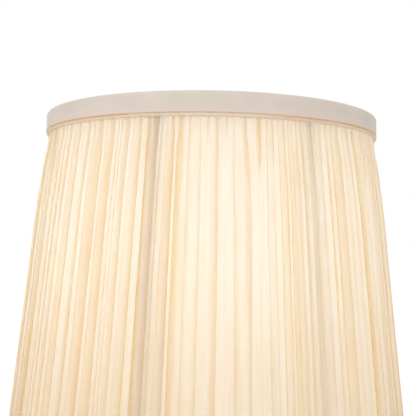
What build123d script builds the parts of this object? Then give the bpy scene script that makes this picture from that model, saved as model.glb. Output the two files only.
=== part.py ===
"""Round tapered lamp shade: gathered fabric over a wire frame, with a reversible fitter in its top.

Millimetres, +Z up. The origin is the centre of the bottom edge, on the surface the shade stands on.
The front is -Y. Angles round the shade are counted from the front towards +X.
"""

from build123d import *
import math
import os

# Whole shade
HEIGHT = 300.0
TOP_R = 150.0  # outside of the top trim
BASE_R = 180.0  # outside of the bottom trim

# Fabric build-up at each ring, from the outside in
TRIM_T = 2.0  # folded trim band
HEM_T = 2.2  # tight gathers under the trim
BINDING_T = 0.4  # cotton tape wound round each ring
LINING_T = 0.5
INNER_LEG_T = 0.7  # the trim's edge inside the shade
TOP_FOLD_T = 1.0  # the trim where it goes over the ring
CLEAR = 0.2  # between pieces that don't touch

# Trims
BAND_H = 16.0
INNER_LEG_H = 12.0
BAND_CORNER_R = 3.2
PIPING_H = 4.5

# Wire frame
RING_WIRE_R = 1.6
RIB_WIRE_R = 1.2
RIB_COUNT = 8
FIRST_RIB_DEG = -15.5
RIB_INSET = 0.4  # the ribs are welded slightly inside the rings' centre lines

# Gathered cover, below the top trim: (how far down from the top edge, outside radius)
COVER_SHOULDER = [(20.5, 147.9), (38.0, 150.7), (62.0, 154.5), (88.0, 158.1)]
COVER_FOOT = [(235.0, 173.4), (278.0, 176.9)]
COVER_EDGE_DEPTH = 4.0  # the cover's raw edges stop this far from the shade's edges

# Reversible fitter
PIVOT_DEPTH = 13.0  # below the top edge
FITTER_DROP = 44.0  # from the pivots down to the fitter ring
FITTER_RING_R = 27.0
FITTER_HOLE_R = 21.0
FITTER_RING_T = 2.0
ARM_WIRE_R = 1.6
ARM_BEND_R = 12.0
ARM_FLAT_END = 45.0  # where the arm turns up from the ring, from the axis
ARM_PIN_START = 118.0  # where the arm turns level again, to be the pivot pin
PIVOT_CLEARANCE = 0.05  # radial
LUG_X = 134.0  # inner face of each lug
LUG_T = 1.5
LUG_W = 12.0
CAP_R = 4.0
CAP_T = 2.0
CAP_GAP = 0.3
PIN_END_X = 138.6

# Plastic reducer in the fitter ring
REDUCER_FLANGE_R = 24.5
REDUCER_FLANGE_T = 1.5
REDUCER_SPIGOT_R = 20.85
REDUCER_SPIGOT_L = 2.5
REDUCER_BORE_R = 14.5
SMALL_ROUND = 0.4

# Worked out from the above
RING_EDGE_OFFSET = TOP_FOLD_T + BINDING_T + RING_WIRE_R  # ring's centre from the nearest edge
RING_INSET = TRIM_T + HEM_T + BINDING_T + RING_WIRE_R  # ring's centre from the trim's outside
TOP_RING_R = TOP_R - RING_INSET
BASE_RING_R = BASE_R - RING_INSET
TOP_RING_Z = HEIGHT - RING_EDGE_OFFSET
BASE_RING_Z = RING_EDGE_OFFSET
LINING_INSET = RING_WIRE_R + BINDING_T + CLEAR  # lining's outside from the ring's centre
LEAN = (BASE_R - TOP_R) / (TOP_RING_Z - BASE_RING_Z)  # outward run of the sides for each mm down
FITTER_Z = HEIGHT - PIVOT_DEPTH - FITTER_DROP
PIVOT_Z = HEIGHT - PIVOT_DEPTH


def save(shape, name):
    """Write one sub-part, named after its node."""
    shape.label = name
    export_step(shape, f"parts/{name}.step")


def rib_degrees(number):
    """Where a rib stands round the shade."""
    return FIRST_RIB_DEG + number * 360 / RIB_COUNT


def turned(face):
    """A section drawn in the XZ plane, turned round the shade's axis."""
    return revolve(face, Axis.Z, 360)


def section_box(r_in, r_out, z_low, z_high, rounded=(), radius=0.0):
    """A rectangle in the XZ plane; rounded names its corners as (right side?, top side?)."""
    centre = Pos((r_in + r_out) / 2, 0, (z_low + z_high) / 2)
    face = centre * (Plane.XZ * Rectangle(r_out - r_in, z_high - z_low))
    corners = []
    for vertex in face.vertices():
        is_outer = vertex.X > (r_in + r_out) / 2
        is_upper = vertex.Z > (z_low + z_high) / 2
        if (is_outer, is_upper) in rounded:
            corners.append(vertex)
    return fillet(corners, radius) if corners else face


def flipped(shape):
    """A piece of the top edge, mirrored to be at the bottom edge."""
    return mirror(shape, Plane.XY.offset(HEIGHT / 2))


def wire_ring(radius, z):
    """One ring of the frame."""
    return Pos(0, 0, z) * Torus(radius, RING_WIRE_R)


def rib(number):
    """One straight upright of the frame, with its ends shaped to the rings they are welded to."""
    angle = math.radians(rib_degrees(number))
    outwards = Vector(math.sin(angle), -math.cos(angle), 0)
    top = outwards * (TOP_RING_R - RIB_INSET) + Vector(0, 0, TOP_RING_Z)
    foot = outwards * (BASE_RING_R - RIB_INSET) + Vector(0, 0, BASE_RING_Z)
    length = (top - foot).length
    wire = Cylinder(RIB_WIRE_R, length, align=(Align.CENTER, Align.CENTER, Align.MIN))
    wire = Plane(origin=foot, z_dir=top - foot) * wire
    return wire - wire_ring(TOP_RING_R, TOP_RING_Z) - wire_ring(BASE_RING_R, BASE_RING_Z)


def binding(radius, z, joints):
    """Cotton tape wound round a ring between its joints, each given as (angle, width)."""
    section = Plane.XZ * (Circle(RING_WIRE_R + BINDING_T) - Circle(RING_WIRE_R))
    section = Pos(radius, 0, z) * section
    joints = sorted((angle % 360, width) for angle, width in joints)
    tape = Part()
    for i, (angle, width) in enumerate(joints):
        next_angle, next_width = joints[(i + 1) % len(joints)]
        start = angle + math.degrees(width / 2 / radius)
        end = next_angle - math.degrees(next_width / 2 / radius)
        length = revolve(section, Axis.Z, (end - start) % 360)
        tape += Rot(0, 0, start - 90) * length
    return tape


def rib_line(z, inset):
    """Radius of the ribs' centre line at a height, moved in by inset."""
    return TOP_RING_R - RIB_INSET + (TOP_RING_Z - z) * LEAN - inset


def cover():
    """The gathered cover, as one shell of the pleats' full depth."""
    top = HEIGHT - COVER_EDGE_DEPTH
    foot = COVER_EDGE_DEPTH
    shoulder = [(r, 0, HEIGHT - depth) for depth, r in COVER_SHOULDER]
    lower = [(r, 0, HEIGHT - depth) for depth, r in COVER_FOOT]
    slope = Vector(lower[0][0] - shoulder[-1][0], 0, lower[0][2] - shoulder[-1][2])
    hem_top = (TOP_R - TRIM_T - CLEAR / 2, 0, top)
    hem_foot = (BASE_R - TRIM_T - CLEAR / 2, 0, foot)
    outside = [
        Line(hem_top, shoulder[0]),
        Spline(*shoulder, tangents=[Vector(0, 0, -1), slope]),
        Line(shoulder[-1], lower[0]),
        Spline(*lower, tangents=[slope, Vector(0, 0, -1)]),
        Line(lower[-1], hem_foot),
    ]
    off_rib = -(RIB_WIRE_R + CLEAR)
    inner_top = TOP_RING_R + RING_WIRE_R + BINDING_T + CLEAR / 2
    inner_foot = BASE_RING_R + RING_WIRE_R + BINDING_T + CLEAR / 2
    under_trim = HEIGHT - BAND_H - PIPING_H
    over_trim = BAND_H + PIPING_H
    inside = Polyline(
        hem_foot,
        (inner_foot, 0, foot),
        (inner_foot, 0, over_trim - PIPING_H),
        (rib_line(over_trim, off_rib), 0, over_trim),
        (rib_line(under_trim, off_rib), 0, under_trim),
        (inner_top, 0, top),
        hem_top,
    )
    return turned(make_face(outside + inside.edges()))


def lining():
    """The plain inner cone, between the ribs and the inside of the shade."""
    top = TOP_RING_Z - RING_WIRE_R - CLEAR
    foot = BASE_RING_Z + RING_WIRE_R + CLEAR
    outer_top = TOP_RING_R - LINING_INSET
    outer_foot = BASE_RING_R - LINING_INSET
    points = [
        (outer_foot - LINING_T, 0, foot),
        (outer_foot, 0, foot),
        (outer_top, 0, top),
        (outer_top - LINING_T, 0, top),
    ]
    return turned(make_face(Polyline(*points, close=True)))


def trim_band(outer_r, leg_setback, through):
    """The folded band over the top ring: a tall leg outside, a short one inside."""
    leg_inside = outer_r - RING_INSET - LINING_INSET - LINING_T - CLEAR - leg_setback
    top_corners = ((True, True), (False, True))
    whole = section_box(
        leg_inside - INNER_LEG_T, outer_r, HEIGHT - BAND_H, HEIGHT, top_corners, BAND_CORNER_R
    )
    hollow = section_box(
        leg_inside,
        outer_r - TRIM_T,
        HEIGHT - BAND_H - 1,
        HEIGHT - TOP_FOLD_T,
        top_corners,
        BAND_CORNER_R - TOP_FOLD_T,
    )
    below_leg = section_box(
        leg_inside - INNER_LEG_T - 1, outer_r - TRIM_T, HEIGHT - BAND_H - 1, HEIGHT - INNER_LEG_H
    )
    band = turned(whole - hollow - below_leg)
    for piece in through:
        band -= piece
    return band


def piping(outer_r):
    """The soft roll below the band's crease, as proud as the band."""
    high = HEIGHT - BAND_H
    top = (outer_r - TRIM_T, 0, high)
    crown = (outer_r, 0, high - PIPING_H / 2)
    foot = (outer_r - TRIM_T, 0, high - PIPING_H)
    return turned(make_face([Line(foot, top), ThreePointArc(top, crown, foot)]))


def lug(side):
    """A bent steel tab under the top ring that carries one fitter pivot; side is -1 or 1."""
    top = TOP_RING_Z
    shelf_len = TOP_RING_R - LUG_X
    shelf = Pos(LUG_X + shelf_len / 2, 0, top - LUG_T / 2) * Box(shelf_len, LUG_W, LUG_T)
    leg_h = top - PIVOT_Z
    leg = Pos(LUG_X + LUG_T / 2, 0, PIVOT_Z + leg_h / 2) * Box(LUG_T, LUG_W, leg_h)
    along_x = Pos(LUG_X + LUG_T / 2, 0, PIVOT_Z) * Rot(0, 90, 0)
    leg += along_x * Cylinder(LUG_W / 2, LUG_T)
    bore = along_x * Cylinder(ARM_WIRE_R + PIVOT_CLEARANCE, 3 * LUG_T)
    tab = shelf + leg - bore
    return tab if side > 0 else mirror(tab, Plane.YZ)


def fitter_ring():
    """The pressed ring that takes the lampholder."""
    ring = Cylinder(FITTER_RING_R, FITTER_RING_T) - Cylinder(FITTER_HOLE_R, FITTER_RING_T)
    ring = fillet(ring.edges().filter_by(GeomType.CIRCLE), SMALL_ROUND)
    return Pos(0, 0, FITTER_Z) * ring


def fitter_arm(side):
    """One bent wire from the fitter ring up to its pivot; its outer end is the pivot pin."""
    points = [
        (FITTER_RING_R - ARM_WIRE_R, 0, FITTER_Z),
        (ARM_FLAT_END, 0, FITTER_Z),
        (ARM_PIN_START, 0, PIVOT_Z),
        (PIN_END_X, 0, PIVOT_Z),
    ]
    path = FilletPolyline(*points, radius=ARM_BEND_R)
    start = Plane(origin=points[0], z_dir=(1, 0, 0))
    arm = sweep(start * Circle(ARM_WIRE_R), path=path) - fitter_ring()
    return arm if side > 0 else mirror(arm, Plane.YZ)


def pivot_cap(side):
    """A push-on cap that keeps one pin in its lug."""
    near = LUG_X + LUG_T + CAP_GAP
    cap = Cylinder(CAP_R, CAP_T)
    cap = fillet(cap.edges().filter_by(GeomType.CIRCLE), SMALL_ROUND)
    cap -= Cylinder(ARM_WIRE_R, 2 * CAP_T)
    cap = Pos(near + CAP_T / 2, 0, PIVOT_Z) * Rot(0, 90, 0) * cap
    return cap if side > 0 else mirror(cap, Plane.YZ)


def reducer():
    """The plastic reducer that sits in the fitter ring, for the narrower lampholder."""
    low_end = (Align.CENTER, Align.CENTER, Align.MIN)
    high_end = (Align.CENTER, Align.CENTER, Align.MAX)
    flange = Cylinder(REDUCER_FLANGE_R, REDUCER_FLANGE_T, align=low_end)
    flange = fillet(flange.edges().sort_by(Axis.Z)[-1], SMALL_ROUND)
    spigot = Cylinder(REDUCER_SPIGOT_R, REDUCER_SPIGOT_L, align=high_end)
    body = flange + spigot - Cylinder(REDUCER_BORE_R, 4 * REDUCER_SPIGOT_L)
    return Pos(0, 0, FITTER_Z + FITTER_RING_T / 2) * body


def main():
    os.makedirs("parts", exist_ok=True)
    sides = {"left": -1, "right": 1}
    rib_joints = [(rib_degrees(i), 2 * (RIB_WIRE_R + CLEAR)) for i in range(RIB_COUNT)]
    lug_joints = [(90 * side, LUG_W + 2 * CLEAR) for side in sides.values()]

    save(wire_ring(TOP_RING_R, TOP_RING_Z), "top_ring")
    save(wire_ring(BASE_RING_R, BASE_RING_Z), "bottom_ring")
    for i in range(RIB_COUNT):
        save(rib(i), f"rib_{i + 1}")
    save(binding(TOP_RING_R, TOP_RING_Z, rib_joints + lug_joints), "top_ring_binding")
    save(binding(BASE_RING_R, BASE_RING_Z, rib_joints), "bottom_ring_binding")
    save(lining(), "lining")
    save(cover(), "pleated_cover")
    save(trim_band(TOP_R, 0, [lug(side) for side in sides.values()]), "top_trim_band")
    save(piping(TOP_R), "top_piping")
    save(flipped(trim_band(BASE_R, LEAN * INNER_LEG_H, [])), "bottom_trim_band")
    save(flipped(piping(BASE_R)), "bottom_piping")
    for name, side in sides.items():
        save(lug(side) - wire_ring(TOP_RING_R, TOP_RING_Z), f"fitter_lug_{name}")
        save(fitter_arm(side), f"fitter_arm_{name}")
        save(pivot_cap(side), f"pivot_cap_{name}")
    save(fitter_ring(), "fitter_ring")
    save(reducer(), "reducer_ring")


main()
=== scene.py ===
import math

import bpy
import numpy as np
from mathutils import Euler, Matrix, Vector


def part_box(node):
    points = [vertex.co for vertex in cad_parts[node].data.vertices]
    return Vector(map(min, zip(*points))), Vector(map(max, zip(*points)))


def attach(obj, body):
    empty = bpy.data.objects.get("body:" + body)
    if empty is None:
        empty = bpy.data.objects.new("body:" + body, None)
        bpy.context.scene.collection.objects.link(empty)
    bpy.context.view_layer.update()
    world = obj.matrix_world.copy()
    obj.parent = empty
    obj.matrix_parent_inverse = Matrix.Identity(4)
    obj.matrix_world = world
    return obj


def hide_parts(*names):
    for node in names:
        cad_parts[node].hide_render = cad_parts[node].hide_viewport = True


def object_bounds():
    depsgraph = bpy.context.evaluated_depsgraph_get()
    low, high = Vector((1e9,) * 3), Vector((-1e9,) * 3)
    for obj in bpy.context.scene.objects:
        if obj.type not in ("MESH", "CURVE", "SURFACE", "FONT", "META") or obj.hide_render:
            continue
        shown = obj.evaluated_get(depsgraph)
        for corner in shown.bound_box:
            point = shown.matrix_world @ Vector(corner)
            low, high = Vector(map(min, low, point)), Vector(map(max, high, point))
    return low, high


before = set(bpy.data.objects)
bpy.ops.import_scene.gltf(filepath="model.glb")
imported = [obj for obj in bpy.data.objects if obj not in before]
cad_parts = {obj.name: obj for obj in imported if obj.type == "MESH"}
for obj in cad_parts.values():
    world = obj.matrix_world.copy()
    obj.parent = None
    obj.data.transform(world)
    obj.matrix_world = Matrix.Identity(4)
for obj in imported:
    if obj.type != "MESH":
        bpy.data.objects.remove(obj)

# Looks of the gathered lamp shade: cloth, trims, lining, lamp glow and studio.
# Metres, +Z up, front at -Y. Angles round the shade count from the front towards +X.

CAD_LOW, CAD_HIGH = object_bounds()
MM = 0.001
TURN = 2 * math.pi
NEARLY_TURN = 6.28  # random waves start anywhere in this
HEIGHT = CAD_HIGH.z
SHADE = "shade"
RIBS = 8

# Camera, level with the shade's upper half
CAMERA_PLACE = (0.0, -0.615, HEIGHT - 0.0962)
CAMERA_LENS = 57.0
CAMERA_PITCH = math.radians(1.48)
CAMERA_YAW = math.radians(-0.17)
CAMERA_ROLL = math.radians(1.0)

# Studio
ROOM_LIGHT = 0.62  # the white studio's light on the shade; the camera sees the backdrop as pure white
ROOM_COLOUR = (1.0, 0.97, 0.935, 1.0)
WHITE = (1.0, 1.0, 1.0, 1.0)
SOFT_BOX_COLOUR = (1.0, 0.98, 0.97)
AIM = (0, 0, 0.2)  # what the soft boxes face
FLOOR_HALF = 6.0
FLOOR_Z = -0.0003

# Lights inside the shade, from the top down: height, watts and colour. They light only the cloth, and aren't
# pieces of the shade. They stand for light off the cloth too, so their colours aren't a real bulb's
GLOW_X = GLOW_Y = -0.008
GLOW_RADIUS = 0.05  # wide, so the ribs' shadows are faint
GLOWS = (
    (0.262, 0.10, (1.0, 0.84, 0.70)),
    (0.195, 0.67, (0.58, 0.81, 1.0)),
    (0.085, 0.23, (1.0, 0.87, 0.71)),
)

# Weave
THREAD = 0.5 * MM  # one over and under of the weave
WEAVE_HEIGHT = 0.2 * MM
CLOTH_GAP = 0.0001  # between the cover or a roll and the CAD wall that it stays inside

# Gathers of the cover
SEED = 365
PLEATS = 186
ROWS = 72
ROW_CROWDING = 0.72  # 0 spaces the rows evenly, and near 1 they crowd at both trims
SEAM_AT = math.radians(-15.5)  # the cover's closing seam, over the first rib
SEAM_WIDTH = 5.6 * MM
SEAM_LEAN = math.radians(0.6)  # how far the seam is off the rib at the bottom
SECOND_STRIP = 3  # the pleat that shows as a fainter strip, counted from the seam towards +X
LASTING_SHARE = 0.68  # the other pleats fade out between the two trims
PLEAT_DEPTH = 1.9 * MM  # from the middle of a pleat to its crest
FOLD_NOSE = 0.25 * MM  # how far a fold bulges past its crease
NARROW_PLEAT = 4.5 * MM  # pleats narrower than this stand up less
MOST_WANDER = 0.36  # of the narrower cell beside a border
HIDDEN_END = 0.0185  # how far in from each end of the shade the trims hide the cover
KNOT_DEPTH = 0.0175  # where the seam comes out from under the top roll, below the cover's edge

# One pleat's path: across the fold from -1 to 1, level from crest 1 to valley -1, the way that a fold's
# nose bulges, and how near to a nose the point is
PLEAT_PATH = np.array([
    (-1.0, 0.95, 0, 0.0), (-0.35, 1.0, 0, 0.0), (0.35, 1.0, 0, 0.1), (0.92, 0.85, 0, 0.7),
    (1.0, 0.4, 1, 1.0), (0.85, 0.05, 0, 0.5), (0.0, 0.0, 0, 0.0), (-0.85, -0.05, 0, 0.5),
    (-1.0, -0.4, -1, 1.0), (-0.92, -0.85, 0, 0.7), (-0.35, -1.0, 0, 0.1), (0.35, -1.0, 0, 0.0),
    (1.0, -0.95, 0, 0.0),
])

# Lining
LINING_ROWS = 40
LINING_COLUMNS = 640
LINING_GAP = 0.0002  # short of the CAD lining at each end
LAP_HALF = 0.0035  # half of a lap's width
LAP_EDGE = 0.0006
LAP_THICKNESS = 0.0002
LINING_PULL = 0.00036  # how far in the cloth lies, but for where it is over a rib

# Folded bands
BAND_COLUMNS = 720
BAND_THICKNESS = 2.0 * MM
LEG_THICKNESS = 0.7 * MM  # of the part inside the shade
LEG_HEIGHT = 12 * MM
LEG_MIDDLE = 7 * MM
FOLD_RADIUS = 3.4 * MM
ARC_STEPS = 6
FACE_STOPS = (0.25, 0.45, 0.65, 0.82, 0.93, 0.985)  # rows down the band's face
BAND_RIPPLE = 0.00007
BAND_HOLLOW = 0.0003  # how far the face sinks in between its fold and its lower edge
BAND_PUCKER = 0.00002  # short waves near the lower edge

# Piping rolls
PIPING_COLUMNS = 2000
PIPING_SHARE = 0.68  # of the CAD roll's height that the cloth fills
PIPING_DOWN = 6 * MM  # of cloth down the roll, for the weave's scale
GATHER_RISE = 0.00008  # how far the fine gathers lift the roll's face
TUCK_RISE = 0.00004
GATHER_DROP = 0.00006  # how far they move its foot
TUCK_DROP = 0.00012

# Down the roll: how far it is pulled in from the widest radius, in mm, and how much painted tan shade the
# cloth has in the crease under the band
PIPING_PROFILE = np.array([
    (0.00, 1.9, 1.0), (0.00, 0.9, 1.0), (0.05, 0.45, 1.0), (0.11, 0.3, 1.0), (0.18, 0.45, 0.7),
    (0.24, 0.5, 0.2), (0.32, 0.2, 0.0), (0.48, 0.0, 0.0), (0.65, 0.05, 0.0), (0.80, 0.4, 0.0),
    (0.92, 1.0, 0.0), (1.00, 1.9, 0.0),
])


# ---------------------------------------------------------------- numbers and meshes


def smooth_step(x):
    """0 below 0, 1 above 1, and a smooth rise between."""
    x = np.clip(x, 0.0, 1.0)
    return x * x * (3 - 2 * x)


def drifting(rng, rows, columns, knots):
    """Random values for each column that change smoothly from the first row to the last."""
    coarse = rng.standard_normal((knots, columns))
    at = np.linspace(0, knots - 1.001, rows)
    low = at.astype(int)
    share = smooth_step(at - low)[:, None]
    return coarse[low] * (1 - share) + coarse[low + 1] * share


def random_waves(rng, angle, counts, uneven=False, fade=0):
    """Sine waves from random starts, added up.

    uneven makes their sizes random, and fade makes the shorter ones smaller."""
    total = np.zeros(angle.shape)
    for count in counts:
        size = rng.normal() if uneven else 1.0
        total += size * np.sin(count * angle + rng.uniform(0, NEARLY_TURN)) / count ** fade
    return total


def wall(node, outward):
    """Heights and radii of a turned CAD node's outer or inner wall, from the bottom up."""
    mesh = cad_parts[node].data
    spots = []
    for face in mesh.polygons:
        centre = Vector((face.center.x, face.center.y, 0)).normalized()
        away = face.normal.dot(centre)
        if (away if outward else -away) > 0.3:
            for i in face.vertices:
                place = mesh.vertices[i].co
                spots.append((round(place.z, 5), math.hypot(place.x, place.y)))
    spots = np.array(sorted(spots))
    heights = np.unique(spots[:, 0])
    radii = np.array([spots[spots[:, 0] == z, 1].mean() for z in heights])
    return heights, radii


def round_points(angle, radius, z):
    """Points round the shade's axis, by row and column."""
    return np.stack(np.broadcast_arrays(radius * np.sin(angle), -radius * np.cos(angle), z), axis=-1)


def build_grid(name, points, uv, values, closed_profile=False):
    """A mesh from points[row, column], closed round the axis, with a UV map in metres of cloth.

    values are the numbers at each point that the materials read, by name."""
    rows, columns = points.shape[:2]
    row = np.arange(rows if closed_profile else rows - 1)[:, None]
    column = np.arange(columns)[None, :]
    next_row = (row + 1) % rows
    next_column = (column + 1) % columns
    corners = [
        row * columns + column,
        row * columns + next_column,
        next_row * columns + next_column,
        next_row * columns + column,
    ]
    faces = np.stack([np.broadcast_to(c, (len(row), columns)) for c in corners], axis=-1)
    faces = faces.reshape(-1, 4)
    mesh = bpy.data.meshes.new(name)
    mesh.vertices.add(rows * columns)
    mesh.vertices.foreach_set("co", points.reshape(-1).astype(np.float32))
    mesh.loops.add(faces.size)
    mesh.loops.foreach_set("vertex_index", faces.reshape(-1).astype(np.int32))
    mesh.polygons.add(len(faces))
    mesh.polygons.foreach_set("loop_start", np.arange(0, faces.size, 4, dtype=np.int32))
    mesh.polygons.foreach_set("use_smooth", np.ones(len(faces), dtype=bool))
    mesh.update(calc_edges=True)
    layer = mesh.uv_layers.new(name="cloth")
    layer.data.foreach_set("uv", uv.reshape(-1, 2)[faces.reshape(-1)].reshape(-1).astype(np.float32))
    for key, value in values.items():
        attribute = mesh.attributes.new(key, "FLOAT", "POINT")
        attribute.data.foreach_set("value", value.reshape(-1).astype(np.float32))
    piece = bpy.data.objects.new(name, mesh)
    bpy.context.scene.collection.objects.link(piece)
    return piece


# ---------------------------------------------------------------- studio


def add_camera():
    data = bpy.data.cameras.new("camera")
    data.lens = CAMERA_LENS
    data.sensor_width = 36.0
    data.clip_start = 0.01
    camera = bpy.data.objects.new("camera", data)
    turn = Euler((math.pi / 2 + CAMERA_PITCH, 0, -CAMERA_YAW)).to_matrix()
    turn = turn @ Matrix.Rotation(CAMERA_ROLL, 3, "Z")
    camera.matrix_world = Matrix.Translation(CAMERA_PLACE) @ turn.to_4x4()
    bpy.context.scene.collection.objects.link(camera)
    bpy.context.scene.camera = camera


def add_soft_box(name, place, size, power):
    """A square area light that faces the shade."""
    data = bpy.data.lights.new(name, "AREA")
    data.energy = power
    data.size = size
    data.color = SOFT_BOX_COLOUR
    light = bpy.data.objects.new(name, data)
    light.location = place
    light.rotation_euler = (Vector(AIM) - Vector(place)).to_track_quat("-Z", "Y").to_euler()
    bpy.context.scene.collection.objects.link(light)


def add_backdrop():
    """Pure white to the camera, and a dimmer, warmer light on the shade."""
    world = bpy.data.worlds.new("studio")
    bpy.context.scene.world = world
    world.use_nodes = True
    tree = world.node_tree
    background = tree.nodes["Background"]
    seen = add_node(tree, "ShaderNodeLightPath").outputs["Is Camera Ray"]
    feed(tree, background.inputs["Color"], mix_colours(tree, seen, ROOM_COLOUR, WHITE))
    feed(tree, background.inputs["Strength"], remap(tree, seen, 0.0, 1.0, ROOM_LIGHT, 1.0))


def add_floor():
    """A white floor that throws no light and no shadow on the shade."""
    mesh = bpy.data.meshes.new("floor")
    corners = [(x * FLOOR_HALF, y * FLOOR_HALF, 0) for x, y in ((-1, -1), (1, -1), (1, 1), (-1, 1))]
    mesh.from_pydata(corners, [], [(0, 1, 2, 3)])
    floor = bpy.data.objects.new("floor", mesh)
    floor.location = (0, 0, FLOOR_Z)
    bpy.context.scene.collection.objects.link(floor)
    floor.data.materials.append(floor_material())
    floor.visible_diffuse = False
    floor.visible_transmission = False
    floor.visible_shadow = False


def add_studio():
    bpy.context.scene.view_settings.view_transform = "Standard"
    add_backdrop()
    add_floor()
    add_soft_box("key", (-1.15, -1.8, 1.3), 1.0, 12.0)
    add_soft_box("fill", (1.5, -1.4, 1.1), 1.2, 4.0)


def add_glow(cloth):
    """Lamp light for the cloth pieces; the wires and the fitter keep the studio's light."""
    lit = bpy.data.collections.new("lit_cloth")
    for piece in cloth:
        lit.objects.link(piece)
    for height, power, colour in GLOWS:
        data = bpy.data.lights.new("bulb_glow", "POINT")
        data.energy = power
        data.shadow_soft_size = GLOW_RADIUS
        data.color = colour
        light = bpy.data.objects.new("bulb_glow", data)
        light.location = (GLOW_X, GLOW_Y, height)
        light.visible_camera = False
        light.light_linking.receiver_collection = lit
        bpy.context.scene.collection.objects.link(light)


# ---------------------------------------------------------------- shader nodes


def feed(tree, socket, value):
    """Sets a socket to a value, or links it to another node's output."""
    if isinstance(value, bpy.types.NodeSocket):
        tree.links.new(value, socket)
    else:
        socket.default_value = value


def add_node(tree, kind, settings=None, **inputs):
    """One shader node. An input's name has _ for each space, or is n and a number where names repeat."""
    node = tree.nodes.new(kind)
    for key, value in (settings or {}).items():
        setattr(node, key, value)
    for key, value in inputs.items():
        name = key.replace("_", " ")
        numbered = name[0] == "n" and name[1:].isdigit()
        feed(tree, node.inputs[int(name[1:])] if numbered else node.inputs[name], value)
    return node


def mix_colours(tree, share, first, second):
    node = add_node(tree, "ShaderNodeMix", {"data_type": "RGBA"}, n0=share, n6=first, n7=second)
    return node.outputs[2]


def do_maths(tree, operation, first, second=0.0):
    node = add_node(tree, "ShaderNodeMath", {"operation": operation}, n0=first, n1=second)
    return node.outputs[0]


def remap(tree, value, low, high, to_low, to_high):
    node = add_node(tree, "ShaderNodeMapRange", n0=value, n1=low, n2=high, n3=to_low, n4=to_high)
    return node.outputs[0]


def read_value(tree, name):
    """A number that the mesh holds at each point."""
    return add_node(tree, "ShaderNodeAttribute", {"attribute_name": name}).outputs["Fac"]


def add_noise(tree, scale, detail, roughness=0.5):
    """Noise that stays on the piece when it moves."""
    place = add_node(tree, "ShaderNodeTexCoord").outputs["Object"]
    noise = add_node(tree, "ShaderNodeTexNoise",
                     Vector=place, Scale=scale, Detail=detail, Roughness=roughness)
    return noise.outputs["Fac"]


def add_cloth_noise(tree, uv, wide, long, detail):
    """Noise on the cloth's own UV map, with spots about this wide and long."""
    scaled = add_node(tree, "ShaderNodeVectorMath", {"operation": "MULTIPLY"},
                      n0=uv, n1=(1 / wide, 1 / long, 1.0))
    noise = add_node(tree, "ShaderNodeTexNoise", {"noise_dimensions": "2D"}, Vector=scaled.outputs[0],
                     Scale=1.0, Detail=detail, Roughness=0.6)
    return noise.outputs["Fac"]


def add_bump(tree, height, strength, distance):
    bump = add_node(tree, "ShaderNodeBump", Strength=strength, Distance=distance, Height=height)
    return bump.outputs["Normal"]


def add_weave(tree, slub_long, strength):
    """A bump of crossing threads with uneven slubs, the slubs' noise, and the cloth's UV output."""
    uv = add_node(tree, "ShaderNodeUVMap", {"uv_map": "cloth"}).outputs["UV"]
    split = add_node(tree, "ShaderNodeSeparateXYZ", Vector=uv)
    waves = []
    for axis in ("X", "Y"):
        turns = do_maths(tree, "MULTIPLY", split.outputs[axis], TURN / THREAD)
        waves.append(do_maths(tree, "SINE", turns))
    weave = remap(tree, do_maths(tree, "MULTIPLY", *waves), -1.0, 1.0, 0.0, 0.35)
    slubs = add_cloth_noise(tree, uv, 2.2 * THREAD, slub_long, 3.0)
    height = do_maths(tree, "ADD", weave, do_maths(tree, "MULTIPLY", slubs, 0.65))
    return add_bump(tree, height, strength, WEAVE_HEIGHT), slubs, uv


def new_material(name):
    material = bpy.data.materials.new(name)
    material.use_nodes = True
    tree = material.node_tree
    tree.nodes.clear()
    return material, tree


def finish_material(tree, shader):
    add_node(tree, "ShaderNodeOutputMaterial", Surface=shader)


def finish_thin_cloth(tree, facing, through, bump, lets_through):
    """Matt cloth that throws some light back and lets the rest through; lets_through is that share."""
    matt = add_node(tree, "ShaderNodeBsdfDiffuse", Color=facing, Normal=bump)
    glow = add_node(tree, "ShaderNodeBsdfTranslucent", Color=through, Normal=bump)
    both = add_node(tree, "ShaderNodeMixShader", Fac=lets_through, n1=matt.outputs[0], n2=glow.outputs[0])
    finish_material(tree, both.outputs[0])


def finish_solid(tree, colour, roughness, **more):
    shader = add_node(tree, "ShaderNodeBsdfPrincipled", Base_Color=colour, Roughness=roughness, **more)
    finish_material(tree, shader.outputs[0])


# ---------------------------------------------------------------- materials


def floor_material():
    material, tree = new_material("floor_paper")
    matt = add_node(tree, "ShaderNodeBsdfDiffuse", Color=(0.8, 0.8, 0.8, 1.0))
    lift = add_node(tree, "ShaderNodeEmission", Color=WHITE, Strength=0.60)
    both = add_node(tree, "ShaderNodeAddShader", n0=matt.outputs[0], n1=lift.outputs[0])
    finish_material(tree, both.outputs[0])
    return material


def cover_material():
    """Ivory cloth that glows; it has painted shade as a tan tint along its fold noses, partly the doubled
    cloth there, and is greyer and denser at the seam.
    """
    material, tree = new_material("cover_cloth")
    bump, slubs, uv = add_weave(tree, 9 * MM, 0.25)
    seam = read_value(tree, "seam")
    crease_shade = read_value(tree, "crease_shade")
    tone = remap(tree, slubs, 0.3, 0.7, 0.0, 1.0)
    streaks = add_cloth_noise(tree, uv, 2.4 * MM, 70 * MM, 2.0)
    creased = remap(tree, streaks, 0.40, 0.70, 0.0, 0.8)
    through = mix_colours(tree, tone, (0.995, 0.940, 0.830, 1), (1.000, 0.970, 0.900, 1))
    through = mix_colours(tree, creased, through, (0.980, 0.884, 0.764, 1))
    through = mix_colours(tree, seam, through, (0.95, 0.915, 0.94, 1))
    # Painted shade: a tan tint along the fold noses, partly the doubled cloth there
    through = mix_colours(tree, crease_shade, through, (0.965, 0.838, 0.50, 1))
    facing = mix_colours(tree, tone, (0.990, 0.893, 0.822, 1), (1.00, 0.932, 0.870, 1))
    facing = mix_colours(tree, seam, facing, (0.95, 0.90, 0.93, 1))
    finish_thin_cloth(tree, facing, through, bump, remap(tree, seam, 0.0, 1.0, 0.88, 0.74))
    return material


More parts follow.
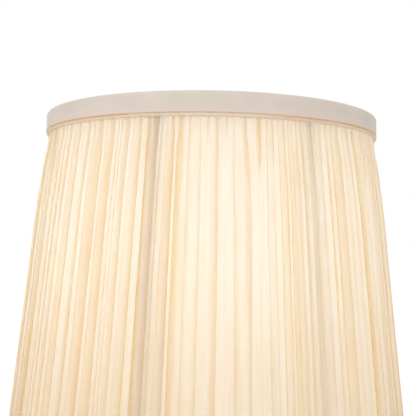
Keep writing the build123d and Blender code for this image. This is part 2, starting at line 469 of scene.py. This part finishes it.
def lining_material():
    material, tree = new_material("lining_cloth")
    bump, slubs, _ = add_weave(tree, 5 * MM, 0.3)
    facing = mix_colours(tree, slubs, (0.95, 0.88, 0.81, 1), (0.97, 0.91, 0.85, 1))
    through = mix_colours(tree, read_value(tree, "lap"), (0.97, 0.93, 0.89, 1), (0.80, 0.75, 0.70, 1))
    finish_thin_cloth(tree, facing, through, bump, 0.5)
    return material


def trim_material():
    """Opaque beige-grey cloth with soft blotches and paler slubs, and painted glow: warmer along the edge by
    the roll, as if lamp light came through there.
    """
    material, tree = new_material("trim_cloth")
    bump, slubs, _ = add_weave(tree, 2.5 * MM, 0.35)
    blotch = remap(tree, add_noise(tree, 28.0, 2.0, 0.55), 0.35, 0.65, 0.0, 1.0)
    colour = mix_colours(tree, blotch, (0.812, 0.724, 0.654, 1), (0.884, 0.788, 0.718, 1))
    # Painted glow: the band's lower part is tinted warmer, as if lit from inside the shade
    colour = mix_colours(tree, read_value(tree, "edge_glow_and_shade"), colour, (0.92, 0.765, 0.67, 1))
    colour = mix_colours(tree, remap(tree, slubs, 0.3, 0.7, 0.0, 0.25), colour, (0.89, 0.83, 0.76, 1))
    finish_solid(tree, colour, 0.85, Normal=bump,
                 Specular_IOR_Level=0.2, Sheen_Weight=0.15, Sheen_Roughness=0.5)
    return material


def piping_material():
    """The cover's cloth doubled, so less light comes through, with painted orange-tan shade and glow in its
    crease under the band.
    """
    material, tree = new_material("piping_cloth")
    bump, _, _ = add_weave(tree, 3 * MM, 0.3)
    crease_shade = read_value(tree, "edge_glow_and_shade")
    # Painted shade and glow: the crease under the band is tinted orange-tan
    facing = mix_colours(tree, crease_shade, (1.0, 0.90, 0.80, 1), (0.98, 0.68, 0.42, 1))
    through = mix_colours(tree, crease_shade, (1.0, 0.96, 0.90, 1), (0.98, 0.74, 0.48, 1))
    finish_thin_cloth(tree, facing, through, bump, 0.35)
    return material


def coated_wire_material():
    material, tree = new_material("powder_coat")
    bump = add_bump(tree, add_noise(tree, 900.0, 2.0), 0.2, 0.1 * MM)
    age = add_noise(tree, 35.0, 3.0)
    colour = mix_colours(tree, age, (0.80, 0.79, 0.75, 1), (0.90, 0.89, 0.86, 1))
    finish_solid(tree, colour, remap(tree, age, 0.3, 0.7, 0.34, 0.5), Normal=bump)
    return material


def zinc_material():
    material, tree = new_material("bright_zinc")
    grain = add_noise(tree, 700.0, 3.0)
    colour = mix_colours(tree, grain, (0.55, 0.55, 0.53, 1), (0.72, 0.72, 0.70, 1))
    finish_solid(tree, colour, remap(tree, grain, 0.3, 0.7, 0.25, 0.45), Metallic=1.0)
    return material


def plastic_material():
    material, tree = new_material("moulded_plastic")
    spark = add_noise(tree, 1400.0, 1.0)
    colour = mix_colours(tree, spark, (0.84, 0.84, 0.81, 1), (0.88, 0.88, 0.86, 1))
    finish_solid(tree, colour, 0.55, Normal=add_bump(tree, spark, 0.25, 0.1 * MM))
    return material


def tape_material():
    material, tree = new_material("cotton_tape")
    weave = add_noise(tree, 1200.0, 2.0)
    colour = mix_colours(tree, weave, (0.78, 0.74, 0.65, 1), (0.88, 0.84, 0.76, 1))
    finish_solid(tree, colour, 0.9, Normal=add_bump(tree, weave, 0.4, 0.2 * MM))
    return material


# ---------------------------------------------------------------- gathered cover


def cover_heights():
    """Row heights from the cover's top edge down, closer together near both trims."""
    low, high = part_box("pleated_cover")
    t = np.linspace(0, 1, ROWS)
    t = t - ROW_CROWDING * np.sin(TURN * t) / TURN
    return high[2] + (low[2] - high[2]) * t


def fold_pleats(rng, depth, from_foot):
    """How fully each pleat is folded by height, from 0 to 1, and which pleats last from trim to trim."""
    lasts = rng.random(PLEATS) < LASTING_SHARE
    lasts[: SECOND_STRIP + 1] = True
    near_top = 1 - smooth_step((depth - 0.020) / rng.uniform(0.010, 0.070, PLEATS))
    near_foot = 1 - smooth_step((from_foot - 0.018) / rng.uniform(0.008, 0.045, PLEATS))
    folded = np.where(lasts, rng.uniform(0.6, 1.0, PLEATS), rng.uniform(0.0, 0.3, PLEATS))
    folded = np.clip(folded + 0.10 * drifting(rng, ROWS, PLEATS, 4), 0, 1)
    return np.maximum(folded, 0.95 * np.maximum(near_top, near_foot)), lasts


def pleat_widths(rng, lasts, mean_radius):
    """Each pleat's share of the turn: uneven, in wider and narrower groups, with the seam's own width."""
    share = np.where(lasts, 1.0, 0.55) * np.exp(0.36 * rng.standard_normal(PLEATS))
    turn = np.linspace(0, TURN, PLEATS, endpoint=False)
    for count in (7, 11, 17, 26):
        share = share * np.exp(0.16 * np.sin(count * turn + rng.uniform(0, NEARLY_TURN)))
    share[0] = share[1:].sum() * SEAM_WIDTH / (TURN * mean_radius - SEAM_WIDTH)
    share[1:SECOND_STRIP] = 0.75 * share[0]
    return TURN * share / share.sum()


def pleat_cells(rng, heights, outer):
    """Centre and width of each pleat's cell by height, as angles, and what fold_pleats gives."""
    depth = (heights[0] - heights)[:, None]
    from_foot = (heights - heights[-1])[:, None]
    folded, lasts = fold_pleats(rng, depth, from_foot)
    width = pleat_widths(rng, lasts, outer.mean())

    # The border between two pleats wanders a little, most of all at the gathers; the seam's borders don't
    border = np.cumsum(width) + SEAM_AT - width[0] / 2
    beside = np.minimum(width, np.roll(width, -1))
    wander = 0.14 * drifting(rng, ROWS, PLEATS, 3)
    wander = wander + 0.22 * rng.standard_normal(PLEATS) * np.exp(-depth / 0.025)
    wander = wander + 0.18 * rng.standard_normal(PLEATS) * np.exp(-from_foot / 0.020)
    wander[:, [0, -1]] = 0
    border = border + np.clip(wander, -MOST_WANDER, MOST_WANDER) * beside

    # The cells near the seam lean with it, and a pleat that fades out gives room to its neighbours
    fallen = depth / (heights[0] - heights[-1])
    from_seam = (border - SEAM_AT + math.pi) % TURN - math.pi
    border = border - SEAM_LEAN * fallen * np.exp(-from_seam ** 2 / 0.1)
    closing = 0.26 * width * (1 - folded)
    border = border - closing + np.roll(closing, -1, axis=1)

    # The seam keeps its width in metres as the shade widens
    spare = width[0] / 2 - SEAM_WIDTH / 2 / outer
    border[:, 0] -= spare
    border[:, -1] += spare
    before = np.roll(border, 1, axis=1)
    before[:, 0] -= TURN
    return (before + border) / 2, border - before, folded, lasts


def pleat_overlap(rng, heights, outer, width, lasts):
    """How wide each fold is by height, as an angle."""
    # The seam's own fold is the fullest, and the pleats from there to the second strip are nearly flat
    fullness = np.where(lasts, rng.uniform(0.30, 0.80, PLEATS), rng.uniform(0.25, 0.55, PLEATS))
    fullness[0] = 1.3
    fullness[1:SECOND_STRIP] = 0.22
    fullness[SECOND_STRIP] = 0.75

    # A pleat's cloth has one length, so its fold shrinks where its cell is wider
    cloth = width[0] * outer[0] * (1 + 2 * fullness)
    overlap = (cloth / outer[:, None] - width) / 2
    overlap = np.clip(overlap, 0.14 * width, 0.86 * width)

    # Folds are narrower just below the top trim, and nearly gone where the trims hide them
    bunched = 1 - smooth_step((heights[0] - heights - 0.016) / 0.025)
    overlap[:, 1:] *= 1 - 0.5 * bunched[:, None]
    hidden = smooth_step((np.abs(heights - HEIGHT / 2) - HEIGHT / 2 + HIDDEN_END) / 0.003)[:, None]
    return overlap * (1 - 0.85 * hidden)


def seam_values(heights, shape):
    """How much each point belongs to the closing seam, or to the fainter second strip."""
    depth = heights[0] - heights
    knot = np.exp(-((depth - KNOT_DEPTH) / 0.003) ** 2)
    seam = np.zeros(shape)
    seam[:, 0] = 0.6 + 0.4 * knot[:, None]
    seam[:, SECOND_STRIP] = 0.4 * smooth_step((depth - 0.08) / 0.12)[:, None]
    return seam


def plain_between(folds, turn=0.0):
    """Values on the plain stretch from each pleat to the next; turn is how much they grow in one round."""
    start = folds[:, :, -1]
    end = np.roll(folds[:, :, 0], -1, axis=1)
    end[:, -1] += turn
    return start[:, :, None] + (end - start)[:, :, None] * np.array([0.33, 0.67])


def join_stretches(folds, plain):
    return np.concatenate([folds, plain], axis=2).reshape(ROWS, -1)


def soften(values, turn=0.0):
    """Rounds the corners along each row; turn is how much the values grow in one round."""
    before = np.roll(values, 1, axis=1)
    after = np.roll(values, -1, axis=1)
    before[:, 0] -= turn
    after[:, -1] += turn
    return (before + 4 * values + after) / 6


def cover_points(rng, heights):
    """The gathered sheet's points: each pleat runs over, back under itself, and on."""
    outer = np.interp(heights, *wall("pleated_cover", True))
    inner = np.interp(heights, *wall("pleated_cover", False))
    room = outer - inner
    middle_depth = np.minimum(PLEAT_DEPTH, 0.46 * room)
    centre, width, folded, lasts = pleat_cells(rng, heights, outer)
    overlap = pleat_overlap(rng, heights, outer, width, lasts)
    side = np.where(rng.random(PLEATS) < 0.6, 1.0, -1.0)
    front = np.clip(0.82 + 0.15 * drifting(rng, ROWS, PLEATS, 4), 0.4, 1.0)
    back = np.clip(0.82 + 0.15 * drifting(rng, ROWS, PLEATS, 4), 0.4, 1.0)

    # The folds, by row, pleat and point of the path
    path_across, path_level, bulge, near_nose = PLEAT_PATH.T
    flat = np.linspace(-1, 1, len(PLEAT_PATH))
    fold = folded[:, :, None]
    across = overlap[:, :, None] / 2 * (fold * path_across + (1 - fold) * flat)
    nose = np.minimum(FOLD_NOSE / outer[:, None], 0.05 * width)
    across = across + fold * bulge * nose[:, :, None]
    rise = np.where(path_level > 0, front[:, :, None], back[:, :, None])
    rise = rise * np.clip(width * outer[:, None] / NARROW_PLEAT, 0.4, 1)[:, :, None]
    level = fold * rise * path_level * side[None, :, None]
    angle = centre[:, :, None] + across

    # Painted shade on each fold's noses, as a tan tint, partly the doubled cloth there: more so lower down,
    # and most at the seam
    lower = smooth_step((heights[0] - heights) / 0.2)[:, None]
    tan_shade = np.clip(0.25 + 0.5 * drifting(rng, ROWS, PLEATS, 4) + 0.35 * lower, 0, 1)[:, :, None]
    tan_shade[:, 0] = 0.9
    crease_shade = near_nose * fold * tan_shade
    crease_shade[:, [0, -1]] = np.maximum(crease_shade[:, [0, -1]], 0.9 * near_nose ** 0.5)
    seam = seam_values(heights, angle.shape)

    plain_angle = plain_between(angle, TURN)
    nothing = np.zeros(plain_angle.shape)
    level = soften(join_stretches(level, plain_between(level)))
    angle = soften(join_stretches(angle, plain_angle), TURN)
    values = {"seam": join_stretches(seam, nothing), "crease_shade": join_stretches(crease_shade, nothing)}

    # Where the CAD cover is thicker than the pleats, the cloth sinks in here and there
    swell = 0.5 + 0.5 * np.sin(3 * angle + 1.1) * np.sin(5 * angle - 0.6)
    slack = np.maximum(room - 2.2 * middle_depth, 0)[:, None]
    radius = outer[:, None] - CLOTH_GAP - middle_depth[:, None] * (1 - level) - 0.12 * slack * swell
    points = round_points(angle, radius, heights[:, None])
    cloth_step = np.linalg.norm(np.diff(points, axis=1, append=points[:, :1]), axis=2)
    along = np.cumsum(cloth_step.mean(axis=0))
    uv = np.stack(np.broadcast_arrays(along[None, :], heights[:, None]), axis=-1)
    return points, uv, values, along[-1]


def add_cover():
    points, uv, values, width = cover_points(np.random.default_rng(SEED), cover_heights())
    piece = build_grid("gathered_cover", points, uv, values)
    piece.data.materials.append(cover_material())
    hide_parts("pleated_cover")
    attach(piece, SHADE)
    return piece


# ---------------------------------------------------------------- lining, bands and rolls


def add_lining():
    """The smooth inner cone, with a lapped seam over each rib."""
    low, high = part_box("lining")
    heights = np.linspace(high[2] - LINING_GAP, low[2] + LINING_GAP, LINING_ROWS)
    angle = np.linspace(0, TURN, LINING_COLUMNS, endpoint=False)[None, :] + SEAM_AT
    middle = (np.interp(heights, *wall("lining", True)) + np.interp(heights, *wall("lining", False))) / 2
    spacing = TURN / RIBS
    from_rib = (angle - SEAM_AT + spacing / 2) % spacing - spacing / 2
    lap = 1 - smooth_step((np.abs(from_rib * middle[:, None]) - LAP_HALF) / LAP_EDGE)
    pull = np.cos(from_rib * RIBS / 2) * np.sin(math.pi * np.linspace(0, 1, LINING_ROWS))[:, None]
    radius = middle[:, None] - LAP_THICKNESS * lap - LINING_PULL * (1 - np.abs(pull))
    points = round_points(angle, radius, heights[:, None])
    uv = np.stack(np.broadcast_arrays(angle * middle.mean(), heights[:, None]), axis=-1)
    piece = build_grid("lining_sheet", points, uv, {"lap": lap})
    piece.data.materials.append(lining_material())
    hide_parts("lining")
    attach(piece, SHADE)
    return piece


def trim_profile(outer_r, leg_r, edge_z, inward, band_h):
    """The folded band's outline, from its inner leg's end over the ring to its outer leg's end and back."""
    bends = [math.pi / 2 * step / ARC_STEPS for step in range(1, ARC_STEPS)]
    outline = [(leg_r, LEG_HEIGHT), (leg_r, LEG_MIDDLE), (leg_r, FOLD_RADIUS)]
    for bend in bends:
        outline.append((leg_r + FOLD_RADIUS * (1 - math.cos(bend)), FOLD_RADIUS * (1 - math.sin(bend))))
    outline += [(leg_r + FOLD_RADIUS, 0.0), (outer_r - FOLD_RADIUS, 0.0)]
    for bend in bends:
        outline.append((outer_r - FOLD_RADIUS * (1 - math.sin(bend)), FOLD_RADIUS * (1 - math.cos(bend))))
    outline += [(outer_r, FOLD_RADIUS + stop * (band_h - FOLD_RADIUS)) for stop in FACE_STOPS]
    outline += [
        (outer_r - 0.5 * MM, band_h),
        (outer_r - BAND_THICKNESS, band_h - 0.3 * MM),
        (outer_r - BAND_THICKNESS, FOLD_RADIUS),
        (leg_r + LEG_THICKNESS, FOLD_RADIUS),
        (leg_r + LEG_THICKNESS, LEG_HEIGHT - 0.2 * MM),
    ]
    return np.array([(radius, edge_z + inward * depth) for radius, depth in outline])


def add_trim_band(name, node, edge_z, inward, seed, material):
    """The band folded over one end of the shade; inward is -1 if it runs down from there, or 1 if up."""
    low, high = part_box(node)
    outer_r = high[0]
    band_h = high[2] - low[2]
    outline = trim_profile(outer_r, wall(node, False)[1].min(), edge_z, inward, band_h)
    rng = np.random.default_rng(seed)
    angle = np.linspace(0, TURN, BAND_COLUMNS, endpoint=False)
    ripple = random_waves(rng, angle, (5, 9, 14, 23, 37, 61), uneven=True, fade=0.5)
    pucker = random_waves(rng, angle, (71, 113, 167, 229), uneven=True)
    from_edge = np.abs(outline[:, 1] - edge_z)
    is_side = outline[:, 0] > outer_r - 0.8 * MM
    near_low = smooth_step((from_edge - 0.55 * band_h) / (0.45 * band_h)) * is_side
    middle = np.sin(math.pi * np.clip(from_edge / band_h, 0, 1)) * is_side
    radius = outline[:, :1] + BAND_RIPPLE * ripple[None] * middle[:, None] - BAND_HOLLOW * middle[:, None]
    radius = radius + BAND_PUCKER * pucker[None] * near_low[:, None]
    z = outline[:, 1:] + inward * BAND_RIPPLE * ripple[None] * near_low[:, None]
    points = round_points(angle, radius, z)
    around = np.cumsum(np.hypot(*np.diff(outline, axis=0, prepend=outline[:1]).T))
    uv = np.stack(np.broadcast_arrays(angle[None] * outer_r, around[:, None]), axis=-1)
    # Painted glow: marks the band's lower part to be tinted warmer
    edge_glow_and_shade = np.broadcast_to(near_low[:, None], radius.shape) * 0.8
    if inward < 0:
        points, uv, edge_glow_and_shade = points[::-1], uv[::-1], edge_glow_and_shade[::-1]
    piece = build_grid(name, points, uv, {"edge_glow_and_shade": edge_glow_and_shade}, closed_profile=True)
    piece.data.materials.append(material)
    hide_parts(node)
    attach(piece, SHADE)
    return piece


def add_piping(name, node, upward, seed, material):
    """The soft roll beside the band, finely gathered, with painted tan shade and glow in the crease along
    the band.

    upward is 1 if the band is above the roll, or -1."""
    low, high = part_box(node)
    outer_r = high[0]
    rng = np.random.default_rng(seed)
    angle = np.linspace(0, TURN, PIPING_COLUMNS, endpoint=False)
    gathers = random_waves(rng, angle, (397, 431, 467, 353))
    tucks = random_waves(rng, angle, (121, 153, 187, 219, 251))
    down, pulled, tan_shade = PIPING_PROFILE.T
    relief = np.sin(math.pi * np.clip((down - 0.2) / 0.8, 0, 1)) + 0.15
    ruffle = (GATHER_RISE * gathers + TUCK_RISE * tucks)[None] * relief[:, None] * (pulled < 1.5)[:, None]
    radius = outer_r - CLOTH_GAP - (pulled * MM)[:, None] + ruffle
    top_z, foot_z = (high[2], low[2]) if upward > 0 else (low[2], high[2])
    foot_z = top_z + PIPING_SHARE * (foot_z - top_z)
    foot_z = foot_z + (TUCK_DROP * tucks + GATHER_DROP * gathers)[None] * upward
    foot_z = np.clip(foot_z, low[2], high[2])
    z = top_z + (foot_z - top_z) * down[:, None]
    points = round_points(angle, radius, z)
    uv = np.stack(np.broadcast_arrays(angle[None] * outer_r, (down * PIPING_DOWN)[:, None]), axis=-1)

    # The painted tan shade line is wide but for three short stretches, one of them at the front
    wide = smooth_step((0.75 - np.cos(3 * (angle + 0.05))) / 0.5)
    wide_tan_shade = 1 - smooth_step((down - 0.2) / 0.45)
    edge_glow_and_shade = np.maximum(tan_shade[:, None], wide_tan_shade[:, None] * wide)
    if upward < 0:
        points, uv, edge_glow_and_shade = points[::-1], uv[::-1], edge_glow_and_shade[::-1]
    piece = build_grid(name, points, uv, {"edge_glow_and_shade": edge_glow_and_shade})
    piece.data.materials.append(material)
    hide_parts(node)
    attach(piece, SHADE)
    return piece


# ---------------------------------------------------------------- carried CAD nodes


def repaint(names, material):
    for name in names:
        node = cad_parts[name]
        if not node.material_slots:
            node.data.materials.append(material)
        for each in node.material_slots:
            each.link = "OBJECT"
            each.material = material


def main():
    add_camera()
    add_studio()
    band, piping = trim_material(), piping_material()
    cloth = [
        add_cover(),
        add_lining(),
        add_trim_band("top_band_cloth", "top_trim_band", HEIGHT, -1, 3, band),
        add_trim_band("bottom_band_cloth", "bottom_trim_band", 0.0, 1, 4, band),
        add_piping("top_piping_roll", "top_piping", 1, 5, piping),
        add_piping("bottom_piping_roll", "bottom_piping", -1, 6, piping),
    ]
    add_glow(cloth)
    wires = [f"rib_{i}" for i in range(1, RIBS + 1)] + ["top_ring", "bottom_ring", "fitter_ring"]
    arms_and_lugs = ["fitter_arm_left", "fitter_arm_right", "fitter_lug_left", "fitter_lug_right"]
    repaint(wires + arms_and_lugs, coated_wire_material())
    repaint(["pivot_cap_left", "pivot_cap_right"], zinc_material())
    repaint(["reducer_ring"], plastic_material())
    repaint(["top_ring_binding", "bottom_ring_binding"], tape_material())


main()
